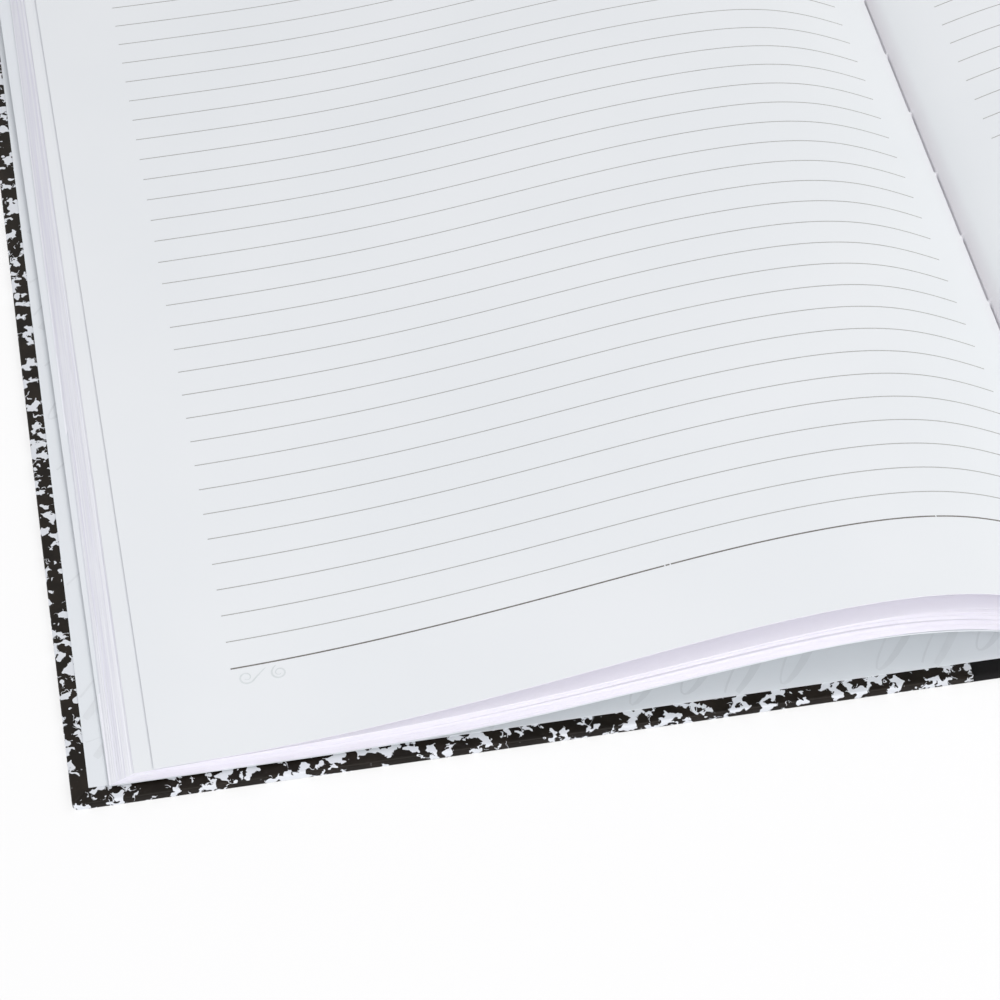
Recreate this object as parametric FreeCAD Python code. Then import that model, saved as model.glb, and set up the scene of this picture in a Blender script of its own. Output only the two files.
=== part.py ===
import FreeCAD, Part
import os

# Composition notebook lying open at its centre fold, in millimetres.
# X runs across both pages, Y along the spine towards the head, Z up.
# The origin is under the middle of the spine, on the surface the notebook lies on.

# Leaves
leaf_height = 247.6
leaf_sheet = 0.4
fore_fan = 8.3
fore_steps = 5
fold_half_width = 4.0

# Open shape of the top leaf at the tail, at mid height and at the head.
# Each height is above the cover, at a share of the way from the fold to the fore edge.
station_share = (1.0, 0.855, 0.707, 0.561, 0.416, 0.269, 0.124, 0.0)
top_reach = 182.3
top_reach_gains = (0.0, 1.3, 3.1)
top_heights = (
    (3.9, 5.5, 9.4, 14.7, 20.1, 23.1, 19.1, 6.6),
    (5.0, 5.9, 7.8, 11.6, 16.3, 19.3, 16.7, 6.2),
    (5.6, 6.0, 7.1, 9.7, 13.4, 16.0, 14.5, 6.0),
)

# Depth of the leaves below the top one at the same stations
bundle_depths = (3.2, 4.5, 4.9, 5.0, 5.2, 5.5, 6.3, 6.3)

# Air under the lifted top leaf
air_heights = (0.0, 0.4, 2.3, 4.1, 5.0, 4.7, 3.4, 0.0)
air_row_share = (1.0, 0.85, 0.7)
air_stations = (1, 6)
air_tips = (0.93, 0.045)
air_tip_cover = 1.2

# Cover boards and what they are covered with
board_thickness = 1.55
cover_skin = 0.2
cover_reach = 197.6
cover_overhang = 2.65
corner_radius = 1.2
turn_in = 15.0
seam_width = 0.12
seam_start = 1.6
cloth_reach = 29.0
endpaper = 0.2
endpaper_inset = 3.3
leaf_clearance = 0.1
rest_clearance = 0.3

# Spine
spine_strip_width = 10.0
spine_strip_thickness = 1.35
lining_margin = 0.5
joint_gap = 6.5
hinge_slit = 0.3

# Thread through the centre fold
stitch_count = 12
stitch_pitch = 19.7
stitch_length = 18.3
stitch_shift = 2.6
thread_diameter = 0.4
thread_seat = 0.08

# Places that follow from the sizes above
half_leaf = leaf_height / 2
half_cover = half_leaf + cover_overhang
half_strip = spine_strip_width / 2
board_top = cover_skin + board_thickness
cover_top = board_top + cover_skin
board_inner = half_strip + joint_gap
hinge_line = half_strip + joint_gap / 2
strip_top = cover_skin + spine_strip_thickness
window = half_cover - turn_in
fold_bottom = board_top + endpaper + leaf_clearance
lowest_level = cover_top + endpaper + rest_clearance + endpaper + leaf_clearance
row_places = (-half_leaf, 0.0, half_leaf)
rows = range(len(row_places))


def box(x_range, y_range, z_range):
    """Block between two places on each axis."""
    lows = [min(pair) for pair in (x_range, y_range, z_range)]
    sizes = [abs(pair[1] - pair[0]) for pair in (x_range, y_range, z_range)]
    return Part.makeBox(*sizes, FreeCAD.Vector(*lows))


def mirrored(shape):
    """The same piece on the other side of the spine."""
    return shape.mirror(FreeCAD.Vector(0, 0, 0), FreeCAD.Vector(1, 0, 0))


def at_both_ends(shape):
    """A piece at the head together with its twin at the tail."""
    twin = shape.mirror(FreeCAD.Vector(0, 0, 0), FreeCAD.Vector(0, 1, 0))
    return shape.fuse(twin)


def vectors(points, row, side=-1):
    """Points of one section, given as reach and level, on one side of the spine."""
    return [FreeCAD.Vector(side * reach, row_places[row], level) for reach, level in points]


def curve(points):
    """Smooth edge through the points."""
    spline = Part.BSplineCurve()
    spline.interpolate(points)
    return [spline.toShape()]


def straight(points):
    """Straight edges from point to point."""
    return [Part.makeLine(start, end) for start, end in zip(points, points[1:])]


def loft(section):
    """Solid through the section's outline at the tail, at mid height and at the head."""
    return Part.makeLoft([Part.Wire(section(row)) for row in rows], True, True)


def share_reach(row, share):
    """Distance from the fold at a share of the way to the top leaf's fore edge."""
    return (top_reach + top_reach_gains[row]) * share


def top_points(row):
    """Upper surface of the top leaf, from the fore edge to the fold."""
    return [(share_reach(row, share), cover_top + height)
            for share, height in zip(station_share, top_heights[row])]


def bundle_points(row):
    """Upper surface of the leaves under the top one."""
    drops = [leaf_sheet + air * air_row_share[row] for air in air_heights]
    return [(reach, level - drop) for (reach, level), drop in zip(top_points(row), drops)]


def underside_points(row, drop=0.0):
    """Lower surface of the leaves, from the fore edge of the lowest one to the fold."""
    levels = [max(level - depth, lowest_level)
              for (reach, level), depth in zip(bundle_points(row), bundle_depths)]
    reaches = [reach for reach, level in top_points(row)]
    reaches[0] += fore_fan
    reaches[-1] = fold_half_width
    levels[-1] = fold_bottom
    return [(reach, level - drop) for reach, level in zip(reaches, levels)]


def step_points(row):
    """Stepped fore edge, from the lowest bundle of leaves to the top leaf."""
    low_reach, low_level = underside_points(row)[0]
    high_reach, high_level = top_points(row)[0]
    reach_step = (low_reach - high_reach) / (fore_steps - 1)
    level_step = (high_level - low_level) / fore_steps
    points = [(low_reach, low_level)]
    for step in range(fore_steps):
        reach = low_reach - step * reach_step
        level = low_level + (step + 1) * level_step
        points.append((reach, level))
        if step < fore_steps - 1:
            points.append((reach - reach_step, level))
    return points


def tip_point(row, share):
    """End of the air under the top leaf, a little below the leaf's surface."""
    reach = share_reach(row, share)
    points = top_points(row)
    for (far, far_level), (near, near_level) in zip(points, points[1:]):
        if near <= reach <= far:
            level = near_level + (far_level - near_level) * (reach - near) / (far - near)
            return (reach, level - air_tip_cover)


def pages_section(row):
    """Outline of the leaves across the open notebook."""
    left_top = vectors(top_points(row), row)
    right_top = vectors(top_points(row), row, 1)[::-1]
    left_under = vectors(underside_points(row), row)[::-1]
    right_under = vectors(underside_points(row), row, 1)
    left_steps = vectors(step_points(row), row)
    right_steps = vectors(step_points(row), row, 1)[::-1]
    fold_flat = [right_under[-1], left_under[0]]
    edges = curve(left_top) + curve(right_top) + straight(right_steps)
    return edges + curve(right_under) + straight(fold_flat) + curve(left_under) + straight(left_steps)


def air_section(row, side):
    """Outline of the air between the top leaf and the leaves below, closed at both ends."""
    stations = slice(air_stations[0], air_stations[1] + 1)
    fore_tip, fold_tip = [tip_point(row, share) for share in air_tips]
    ceiling = [(reach, level - leaf_sheet) for reach, level in top_points(row)][stations]
    floor = bundle_points(row)[stations]
    upper = vectors([fore_tip] + ceiling + [fold_tip], row, side)
    lower = vectors([fore_tip] + floor + [fold_tip], row, side)
    return curve(upper) + curve(lower[::-1])


def make_pages():
    """All the leaves, folded together at the middle, with the air under the two top leaves."""
    pages = loft(pages_section)
    for side in (-1, 1):
        pages = pages.cut(loft(lambda row: air_section(row, side)))
    return pages


def make_flyleaf():
    """Free half of the front endpaper, under the leaves, with its root across the joint."""
    def section(row):
        upper = vectors(underside_points(row, leaf_clearance), row)
        lower = vectors(underside_points(row, leaf_clearance + endpaper), row)[::-1]
        return curve(upper) + straight([upper[-1], lower[0]]) + curve(lower) + straight([lower[-1], upper[0]])
    root_reach = hinge_line - hinge_slit / 2
    root = box((-root_reach, -fold_half_width), (-half_leaf, half_leaf), (board_top, board_top + endpaper))
    return loft(section).fuse(root).removeSplitter()


def fold_level(place):
    """Level of the open fold at a place along the spine."""
    row = 0 if place < 0 else 1
    levels = [top_points(number)[-1][1] for number in rows]
    share = (place - row_places[row]) / half_leaf
    return levels[row] + (levels[row + 1] - levels[row]) * share


def make_thread():
    """Stitches that lie in the open fold."""
    stitches = []
    first = stitch_shift - stitch_pitch * (stitch_count - 1) / 2
    lift = thread_diameter / 2 + thread_seat
    for number in range(stitch_count):
        middle = first + number * stitch_pitch
        low, high = middle - stitch_length / 2, middle + stitch_length / 2
        start = FreeCAD.Vector(0, low, fold_level(low) + lift)
        end = FreeCAD.Vector(0, high, fold_level(high) + lift)
        run = end - start
        stitches.append(Part.makeCylinder(thread_diameter / 2, run.Length, start, run))
    return Part.makeCompound(stitches)


def rounded_plate(reach, half_height, radius, z_range):
    """Plate from the spine to the fore edge with rounded outer corners."""
    plate = box((-reach, 0), (-half_height, half_height), z_range)
    corners = [edge for edge in plate.Edges
               if all(abs(vertex.X + reach) < 0.001 for vertex in edge.Vertexes)
               and abs(edge.Vertexes[0].Z - edge.Vertexes[1].Z) > 0.001]
    return plate.makeFillet(radius, corners)


def make_board():
    """Front cover board."""
    radius = corner_radius - cover_skin
    plate = rounded_plate(cover_reach - cover_skin, half_cover - cover_skin, radius, (cover_skin, board_top))
    return plate.cut(box((-board_inner, 1), (-half_cover, half_cover), (0, cover_top)))


def mitre_seams():
    """Narrow diagonal seams where the turned-in edges of the paper meet."""
    length = (turn_in - seam_start) * 2 ** 0.5 + seam_width
    seam = box((0, length), (-seam_width / 2, seam_width / 2), (board_top, cover_top))
    seam.rotate(FreeCAD.Vector(0, 0, 0), FreeCAD.Vector(0, 0, 1), -45)
    seam.translate(FreeCAD.Vector(-cover_reach + seam_start, half_cover - seam_start, 0))
    return at_both_ends(seam)


def make_cover_paper():
    """Marbled paper round the front board, with turned-in edges and mitred corners."""
    paper = rounded_plate(cover_reach, half_cover, corner_radius, (0, cover_top))
    paper = paper.cut(box((-cloth_reach, 1), (-half_cover, half_cover), (0, cover_top)))
    radius = corner_radius - cover_skin
    inside = rounded_plate(cover_reach - cover_skin, half_cover - cover_skin, radius, (cover_skin, board_top))
    paper = paper.cut(inside)
    paper = paper.cut(box((-cover_reach + turn_in, 0), (-window, window), (board_top, cover_top)))
    return paper.cut(mitre_seams())


def make_cover_cloth():
    """Cloth on the spine side of the front board, as far as the hinge line."""
    hinge_edge = hinge_line + hinge_slit / 2
    inside = half_cover - cover_skin
    cloth = box((-cloth_reach, -board_inner), (-half_cover, half_cover), (0, cover_top))
    cloth = cloth.cut(box((-cloth_reach, -board_inner), (-inside, inside), (cover_skin, board_top)))
    cloth = cloth.cut(box((-cloth_reach, -board_inner), (-window, window), (board_top, cover_top)))
    groove = box((-board_inner, -hinge_edge), (-half_cover, half_cover), (0, cover_skin))
    doubled = box((-board_inner, -hinge_edge), (window, half_cover), (cover_skin, 2 * cover_skin))
    edge = box((-board_inner, -board_inner + cover_skin), (window, half_cover), (2 * cover_skin, cover_top))
    return cloth.fuse([groove, at_both_ends(doubled), at_both_ends(edge)]).removeSplitter()


def make_spine_cloth():
    """Cloth under the spine, between the two hinge lines, turned in over the spine strip."""
    half = hinge_line - hinge_slit / 2
    ends = (half_cover - cover_skin, half_cover)
    cloth = box((-half, half), (-half_cover, half_cover), (0, cover_skin))
    end_wall = box((-half_strip, half_strip), ends, (0, strip_top))
    folded = box((-half_strip, half_strip), (window, half_cover), (strip_top, strip_top + cover_skin))
    doubled = box((half_strip, half), (window, half_cover), (cover_skin, 2 * cover_skin))
    sides = at_both_ends(doubled.fuse(mirrored(doubled)))
    return cloth.fuse([at_both_ends(end_wall), at_both_ends(folded), sides]).removeSplitter()


def make_pastedown():
    """Glued half of the front endpaper: over the turned-in edges, and down on the bare board."""
    hinge_edge = hinge_line + hinge_slit / 2
    outer_reach = cover_reach - endpaper_inset
    outer_half = half_cover - endpaper_inset
    rim = box((-outer_reach, -hinge_edge), (-outer_half, outer_half), (cover_top, cover_top + endpaper))
    opening_reach = cover_reach - turn_in - endpaper
    opening_half = window - endpaper
    rim = rim.cut(box((-opening_reach, 0), (-opening_half, opening_half), (cover_top, cover_top + endpaper)))
    sunk_level = (board_top, board_top + endpaper)
    sunk = box((-cover_reach + turn_in, -hinge_edge), (-window, window), sunk_level)
    return rim.fuse(sunk).removeSplitter()


def make_spine_strip():
    """Stiff card strip inside the spine cloth."""
    inside = half_cover - cover_skin
    return box((-half_strip, half_strip), (-inside, inside), (cover_skin, strip_top))


def make_spine_lining():
    """Lining glued under the fold of the leaves, between the turned-in ends of the cloth."""
    end = window - lining_margin
    half = fold_half_width - leaf_clearance
    return box((-half, half), (-end, end), (strip_top, fold_bottom))


os.makedirs("parts", exist_ok=True)

make_pages().exportStep("parts/pages.step")
make_thread().exportStep("parts/sewing_thread.step")
make_spine_lining().exportStep("parts/spine_lining.step")
make_spine_strip().exportStep("parts/spine_strip.step")
make_spine_cloth().exportStep("parts/spine_cloth.step")

side_pieces = {
    "board": make_board(),
    "cover_paper": make_cover_paper(),
    "cover_cloth": make_cover_cloth(),
    "pastedown": make_pastedown(),
    "flyleaf": make_flyleaf(),
}
for name, piece in side_pieces.items():
    piece.exportStep("parts/front_" + name + ".step")
    mirrored(piece).exportStep("parts/back_" + name + ".step")
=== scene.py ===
import math

import bpy
import numpy as np
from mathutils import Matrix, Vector


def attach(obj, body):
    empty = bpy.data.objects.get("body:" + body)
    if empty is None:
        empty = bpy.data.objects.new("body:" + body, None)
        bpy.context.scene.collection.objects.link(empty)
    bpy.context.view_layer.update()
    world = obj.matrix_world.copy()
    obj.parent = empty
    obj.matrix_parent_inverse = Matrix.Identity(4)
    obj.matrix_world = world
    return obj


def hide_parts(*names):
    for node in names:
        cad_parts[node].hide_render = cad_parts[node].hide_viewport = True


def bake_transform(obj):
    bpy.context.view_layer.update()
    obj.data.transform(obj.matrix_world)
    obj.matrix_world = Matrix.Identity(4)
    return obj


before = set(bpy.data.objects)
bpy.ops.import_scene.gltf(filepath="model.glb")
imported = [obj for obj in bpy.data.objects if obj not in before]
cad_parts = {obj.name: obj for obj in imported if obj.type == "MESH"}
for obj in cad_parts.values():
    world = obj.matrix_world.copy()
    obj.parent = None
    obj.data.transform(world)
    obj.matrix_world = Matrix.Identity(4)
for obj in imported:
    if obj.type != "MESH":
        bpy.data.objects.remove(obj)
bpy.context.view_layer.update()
mm = 0.001
print("frame loaded:", len(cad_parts), "nodes")


class Signal:
    # one socket of a shader or geometry tree; maths on it adds Math nodes
    def __init__(self, tree, socket=None):
        self.tree, self.socket = tree, socket

    def node(self, kind, settings=None, sockets=None, output=0):
        made = self.tree.nodes.new(kind)
        for name, value in (settings or {}).items():
            setattr(made, name, value)
        for name, value in (sockets or {}).items():
            for each in value if isinstance(value, list) else [value]:
                if isinstance(each, Signal):
                    self.tree.links.new(each.socket, made.inputs[name])
                else:
                    made.inputs[name].default_value = each
        return Signal(self.tree, made.outputs[output])

    def grow(self, kind, sockets, output=0):
        return self.node("GeometryNode" + kind, {}, sockets, output)

    def other(self, output):
        return Signal(self.tree, self.socket.node.outputs[output])

    def maths(self, operation, first, second=0.0):
        return self.node("ShaderNodeMath", {"operation": operation}, {0: first, 1: second})

    def __add__(self, value):
        return self.maths("ADD", self, value)

    def __radd__(self, value):
        return self.maths("ADD", value, self)

    def __sub__(self, value):
        return self.maths("SUBTRACT", self, value)

    def __rsub__(self, value):
        return self.maths("SUBTRACT", value, self)

    def __mul__(self, value):
        return self.maths("MULTIPLY", self, value)

    def __rmul__(self, value):
        return self.maths("MULTIPLY", value, self)

    def __truediv__(self, value):
        return self.maths("DIVIDE", self, value)

    def __lt__(self, value):
        return self.maths("LESS_THAN", self, value)

    def largest(self, value):
        return self.maths("MAXIMUM", self, value)

    def smallest(self, value):
        return self.maths("MINIMUM", self, value)

    def wave(self, length):
        # swings between -1 and 1 once in each length
        return self.maths("SINE", self * (2 * math.pi / length))

    def rise(self, low, high):
        # soft step from 0 to 1
        return self.node("ShaderNodeMapRange", {"interpolation_type": "SMOOTHSTEP"},
                         {"Value": self, "From Min": low, "From Max": high})

    def split(self):
        parts = self.node("ShaderNodeSeparateXYZ", sockets={0: self})
        return parts, parts.other(1), parts.other(2)

    def joined(self, x, y, z):
        return self.node("ShaderNodeCombineXYZ", sockets={0: x, 1: y, 2: z})

    def vector(self, operation, first, second, third=None, output=0):
        sockets = {0: first, 1: second} if third is None else {0: first, 1: second, 2: third}
        return self.node("ShaderNodeVectorMath", {"operation": operation}, sockets, output)

    def noise(self, size, detail=2.0, roughness=0.5, distortion=0.0, output="Fac"):
        # clouds about this many metres across
        return self.node("ShaderNodeTexNoise", {}, {"Vector": self, "Scale": 1 / size, "Detail": detail,
                         "Roughness": roughness, "Distortion": distortion}, output)

    def tint(self, low, high):
        # colour between two colours, at this share
        return self.node("ShaderNodeMix", {"data_type": "RGBA"}, {0: self, 6: (*low, 1), 7: (*high, 1)}, 2)

    def over(self, below, colour):
        # colour laid over a painted colour, as strongly as this share
        return self.node("ShaderNodeMix", {"data_type": "RGBA"}, {0: self, 6: below, 7: (*colour, 1)}, 2)

    def bump(self, depth, strength=1.0):
        return self.node("ShaderNodeBump", {}, {"Height": self, "Distance": depth, "Strength": strength}, "Normal")


def linked(name, data):
    # object for this data, in the scene
    made = bpy.data.objects.new(name, data)
    bpy.context.scene.collection.objects.link(made)
    return made


def makeMaterial(name, finish, paint):
    made = bpy.data.materials.new(name)
    made.use_nodes = True
    tree = made.node_tree
    shader = tree.nodes["Principled BSDF"]
    for socket, value in finish.items():
        shader.inputs[socket].default_value = value
    place = Signal(tree).node("ShaderNodeTexCoord", output="Object")
    for socket, signal in paint(place).items():
        tree.links.new(signal.socket, shader.inputs[socket])
    return made


leafFinish = {
    "light": (0.855, 0.885, 0.895),
    "shade": (0.835, 0.868, 0.88),
    "fibre": 0.5 * mm,
    "paintedFoldShade": (0.775, 0.765, 0.79),           # painted shade: the paper darkened in the fold
    "paintedFoldShadeReach": 3.2 * mm,
    "paintedFoldShadeFaint": 0.3,                       # share of the painted fold shade's colour on the front side
    # painted light and shade colour: the inner leaves are the page's paper, tinted lilac and lightened for the gaps
    # they show in
    "innerPaintedLight": (0.92, 0.91, 0.96),
    "marginPaintedLight": (0.925, 0.945, 0.965),     # painted light: the inner leaves beside the fore edge, lighter than the page's paper
    # painted shade lines between the inner leaves at the fore edge
    "marginPaintedShade": (0.85, 0.86, 0.915),
    "marginFrom": (0.181, 0.1835),            # distance from the fold at which that margin sets in
    "ledgeFrom": 0.176,                       # from here out the uppermost inner leaves look like the page
    # size of the painted shade lines at the fore edge
    "paintedShadeLineSize": 0.55 * mm,
    # painted shade colour: the lilac tint of the leaf edges and undersides; the two tones vary at random in layers
    "edgeLight": (0.90, 0.89, 0.94),
    "edgeShade": (0.85, 0.825, 0.93),
}


def paintLeaf(place):
    clouds = place.noise(40 * mm, 3).rise(0.3, 0.7)
    fibres = place.noise(leafFinish["fibre"], 4, 0.6)
    x, y, z = place.split()
    # painted shade: the paper darkens within a few millimetres of the fold, fully on the back side and faintly on the
    # front
    side = leafFinish["paintedFoldShadeFaint"] + x.rise(-0.1 * mm, 0.1 * mm) * (1 - leafFinish["paintedFoldShadeFaint"])
    paintedFoldShade = x.maths("ABSOLUTE", x).rise(leafFinish["paintedFoldShadeReach"], 0.0) * side
    page = clouds.tint(leafFinish["shade"], leafFinish["light"])
    return {"Base Color": paintedFoldShade.over(page, leafFinish["paintedFoldShade"]),
            "Roughness": 0.72 + fibres * 0.15, "Normal": fibres.bump(0.012 * mm, 0.5)}


def paintInnerLeaf(place):
    x, y, z = place.split()
    # painted shade lines between the inner leaves beside the fore edge, laid over their painted lighter colour
    paintedShadeLines = place.joined(x, y / 400, z * 2).noise(leafFinish["paintedShadeLineSize"], 2, 0.6)
    fibres = place.noise(leafFinish["fibre"], 4, 0.6)
    margin = x.maths("ABSOLUTE", x).rise(*leafFinish["marginFrom"])
    shade = paintedShadeLines.rise(0.58, 0.36) * margin
    page = margin.tint(leafFinish["innerPaintedLight"], leafFinish["marginPaintedLight"])
    return {"Base Color": shade.over(page, leafFinish["marginPaintedShade"]),
            "Roughness": 0.72 + fibres * 0.15, "Normal": fibres.bump(0.012 * mm, 0.5)}


def paintLeafEdge(place):
    x, y, z = place.split()
    layers = place.joined(x / 60, y / 60, z).noise(0.12 * mm, 2, 0.7)
    # the lilac tint of these edge colours is painted shade colour
    return {"Base Color": layers.rise(0.3, 0.6).tint(leafFinish["edgeShade"], leafFinish["edgeLight"]),
            "Roughness": 0.8 + layers * 0.1, "Normal": layers.bump(0.03 * mm, 0.5)}


marble = {
    "ground": (0.007, 0.005, 0.003),
    "groundWorn": (0.018, 0.013, 0.009),
    "patch": (0.73, 0.76, 0.79),
    "patchSize": 2.3 * mm,
    "patchFrom": 0.562,          # noise level above which the ground is white
    "patchEdge": 0.012,
    "veinSize": 3.2 * mm,
    "veinWidth": (0.016, 0.008),
    "jagSize": 1.25 * mm,
    "jag": 1.7 * mm,
}


def paintMarble(place):
    jags = place.noise(marble["jagSize"], 0.8, 0.5, output="Color")
    bent = place.vector("MULTIPLY_ADD", jags, (marble["jag"],) * 3, place)
    blots = bent.noise(marble["patchSize"], 1.1, 0.5, 0.25)
    patches = blots.rise(marble["patchFrom"], marble["patchFrom"] + marble["patchEdge"])
    threads = bent.noise(marble["veinSize"], 1.5, 0.5, 0.6)
    veins = (threads - 0.5).maths("ABSOLUTE", threads - 0.5).rise(*marble["veinWidth"]) * blots.rise(0.485, 0.5)
    white = patches.largest(veins)
    wear = place.noise(7 * mm, 4, 0.65)
    ground = wear.rise(0.35, 0.75).tint(marble["ground"], marble["groundWorn"])
    grain = place.noise(0.5 * mm, 3, 0.6)
    return {"Base Color": white.over(ground, marble["patch"]),
            "Roughness": 0.42 + grain * 0.14 + white * 0.1,
            "Normal": (grain * 0.5 + white * 0.3).bump(0.02 * mm, 0.6)}


cloth = {
    "colour": (0.004, 0.004, 0.004),
    "raised": (0.013, 0.012, 0.012),
    "thread": 0.42 * mm,
}


def paintCloth(place):
    x, y, z = place.split()
    along = y + z
    twill = (x + along).wave(cloth["thread"])
    grid = x.wave(cloth["thread"]) * along.wave(cloth["thread"])
    weave = twill * 0.3 + grid * 0.2 + 0.5
    fuzz = place.noise(0.8 * mm, 4, 0.7)
    return {"Base Color": (weave * 0.7 + fuzz * 0.3).rise(0.3, 0.9).tint(cloth["colour"], cloth["raised"]),
            "Roughness": 0.62 + fuzz * 0.2, "Normal": (weave + fuzz * 0.3).bump(0.06 * mm, 0.7)}


# darker and lighter colour of each plain finish
tones = {
    "endpaper": ((0.785, 0.825, 0.845), (0.81, 0.845, 0.865)),
    "flourish": ((0.725, 0.76, 0.778), (0.755, 0.79, 0.808)),
    "board": ((0.30, 0.27, 0.235), (0.42, 0.39, 0.35)),
    "kraft": ((0.30, 0.21, 0.12), (0.42, 0.31, 0.19)),
    "thread": ((0.60, 0.58, 0.62), (0.78, 0.76, 0.79)),
    "rule": ((0.40, 0.405, 0.39), (0.47, 0.475, 0.46)),
    "footRule": ((0.165, 0.155, 0.14), (0.235, 0.225, 0.21)),
    "scroll": ((0.70, 0.745, 0.745), (0.755, 0.795, 0.80)),
}
boardSpeck = (0.16, 0.14, 0.12)


def paintPasted(tone, cloudSize):
    # endpaper, and the strokes printed on it
    def paint(place):
        clouds = place.noise(cloudSize, 3).rise(0.3, 0.7)
        fibres = place.noise(0.6 * mm, 4, 0.6)
        return {"Base Color": clouds.tint(*tones[tone]),
                "Roughness": 0.7 + fibres * 0.15, "Normal": fibres.bump(0.015 * mm, 0.6)}
    return paint


def paintBoard(place):
    pulp = place.noise(2.5 * mm, 5, 0.7)
    specks = place.noise(0.7 * mm, 2, 0.5).rise(0.66, 0.72)
    base = pulp.rise(0.3, 0.7).tint(*tones["board"])
    return {"Base Color": (specks * 0.6).over(base, boardSpeck),
            "Roughness": 0.8 + pulp * 0.15, "Normal": pulp.bump(0.08 * mm, 0.7)}


def paintKraft(place):
    x, y, z = place.split()
    ribs = place.joined(x, y / 12, z).noise(0.5 * mm, 3, 0.6)
    return {"Base Color": ribs.rise(0.3, 0.7).tint(*tones["kraft"]),
            "Roughness": 0.75 + ribs * 0.15, "Normal": ribs.bump(0.05 * mm, 0.6)}


def paintThread(place):
    fuzz = place.noise(0.12 * mm, 3, 0.7)
    return {"Base Color": fuzz.rise(0.3, 0.7).tint(*tones["thread"]),
            "Roughness": 0.7 + fuzz * 0.2, "Normal": fuzz.bump(0.04 * mm, 0.8)}


def paintInk(tone):
    def paint(place):
        grain = place.noise(0.9 * mm, 3, 0.7)
        return {"Base Color": grain.rise(0.35, 0.7).tint(*tones[tone]), "Roughness": 0.62 + grain * 0.2}
    return paint


paper = {"Specular IOR Level": 0.3}
waxedPaper = {"Specular IOR Level": 0.15, "Coat Weight": 0.03, "Coat Roughness": 0.2}
bookCloth = {"Specular IOR Level": 0.12, "Sheen Weight": 0.02, "Sheen Roughness": 0.4}
cotton = {"Sheen Weight": 0.2}
materials = {
    "leaf": makeMaterial("writingPaper", paper, paintLeaf),
    "innerLeaf": makeMaterial("innerPaperPaintedLightAndShade", paper, paintInnerLeaf),
    "leafEdge": makeMaterial("writingPaperEdge", paper, paintLeafEdge),
    "marble": makeMaterial("marbledPaper", waxedPaper, paintMarble),
    "cloth": makeMaterial("blackBookCloth", bookCloth, paintCloth),
    "endpaper": makeMaterial("endpaper", paper, paintPasted("endpaper", 30 * mm)),
    "flourish": makeMaterial("endpaperFlourish", paper, paintPasted("flourish", 6 * mm)),
    "board": makeMaterial("greyBoard", paper, paintBoard),
    "kraft": makeMaterial("kraftLining", paper, paintKraft),
    "thread": makeMaterial("paleThread", cotton, paintThread),
    "rule": makeMaterial("greyRuling", paper, paintInk("rule")),
    "footRule": makeMaterial("darkFootRuling", paper, paintInk("footRule")),
    "scroll": makeMaterial("faintGreenInk", paper, paintInk("scroll")),
}
print("materials made:", len(materials))


def addPiece(name, mesh, *finishes):
    piece = linked(name, mesh)
    for finish in finishes:
        mesh.materials.append(materials[finish])
    return piece


def shellFaces(rows, columns):
    # faces of a thin closed shell between an upper and a lower grid of points
    upper = np.arange(rows * columns).reshape(rows, columns)
    lower = upper + rows * columns

    def quads(grid):
        return np.stack([grid[:-1, :-1], grid[:-1, 1:], grid[1:, 1:], grid[1:, :-1]], -1).reshape(-1, 4)

    faces = [quads(upper), quads(lower)[:, ::-1]]
    around = np.concatenate([upper[0, :], upper[1:, -1], upper[-1, -2::-1], upper[-2:0:-1, 0]])
    after = np.roll(around, -1)
    faces.append(np.stack([around, around + rows * columns, after + rows * columns, after], -1))
    return faces


def gridShells(name, sheets, rimSlot=1, lowerSlot=0):
    # one mesh of thin closed sheets, each given as (upper points, lower points)
    points, faces, slots, uvs, start = [], [], [], [], 0
    for upper, lower in sheets:
        rows, columns = upper.shape[:2]
        points += [upper.reshape(-1, 3), lower.reshape(-1, 3)]
        groups = shellFaces(rows, columns)
        faces += [group + start for group in groups]
        slots += [np.zeros(len(groups[0])), np.full(len(groups[1]), lowerSlot), np.full(len(groups[2]), rimSlot)]
        across, along = np.meshgrid(np.linspace(0, 1, columns), np.linspace(0, 1, rows))
        uvs += [np.stack([across, along], -1).reshape(-1, 2)] * 2
        start += 2 * rows * columns
    points, faces = np.concatenate(points) * mm, np.concatenate(faces)
    mesh = bpy.data.meshes.new(name)
    mesh.from_pydata(points.tolist(), [], faces.tolist())
    mesh.polygons.foreach_set("material_index", np.concatenate(slots).astype(np.int32))
    mesh.polygons.foreach_set("use_smooth", np.concatenate([s == 0 for s in slots]))
    mesh.set_sharp_from_angle(angle=math.pi / 3)           # keeps the rims out of the sheets' shading
    layer = mesh.uv_layers.new(name="UVMap")
    layer.data.foreach_set("uv", np.concatenate(uvs)[faces.reshape(-1)].astype(np.float32).reshape(-1))
    mesh.update()
    return mesh


def naturalSpline(knots, values, places):
    # smooth curve through a few points, without bend at its ends
    gaps, count = np.diff(knots), len(knots)
    system, known = np.eye(count), np.zeros(count)
    for i in range(1, count - 1):
        system[i, i - 1:i + 2] = gaps[i - 1], 2 * (gaps[i - 1] + gaps[i]), gaps[i]
        known[i] = 6 * ((values[i + 1] - values[i]) / gaps[i] - (values[i] - values[i - 1]) / gaps[i - 1])
    bends = np.linalg.solve(system, known)
    k = np.clip(np.searchsorted(knots, places) - 1, 0, count - 2)
    after = (places - knots[k]) / gaps[k]
    before = 1 - after
    curve = ((before ** 3 - before) * bends[k] + (after ** 3 - after) * bends[k + 1]) * gaps[k] ** 2 / 6
    return before * values[k] + after * values[k + 1] + curve


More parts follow.
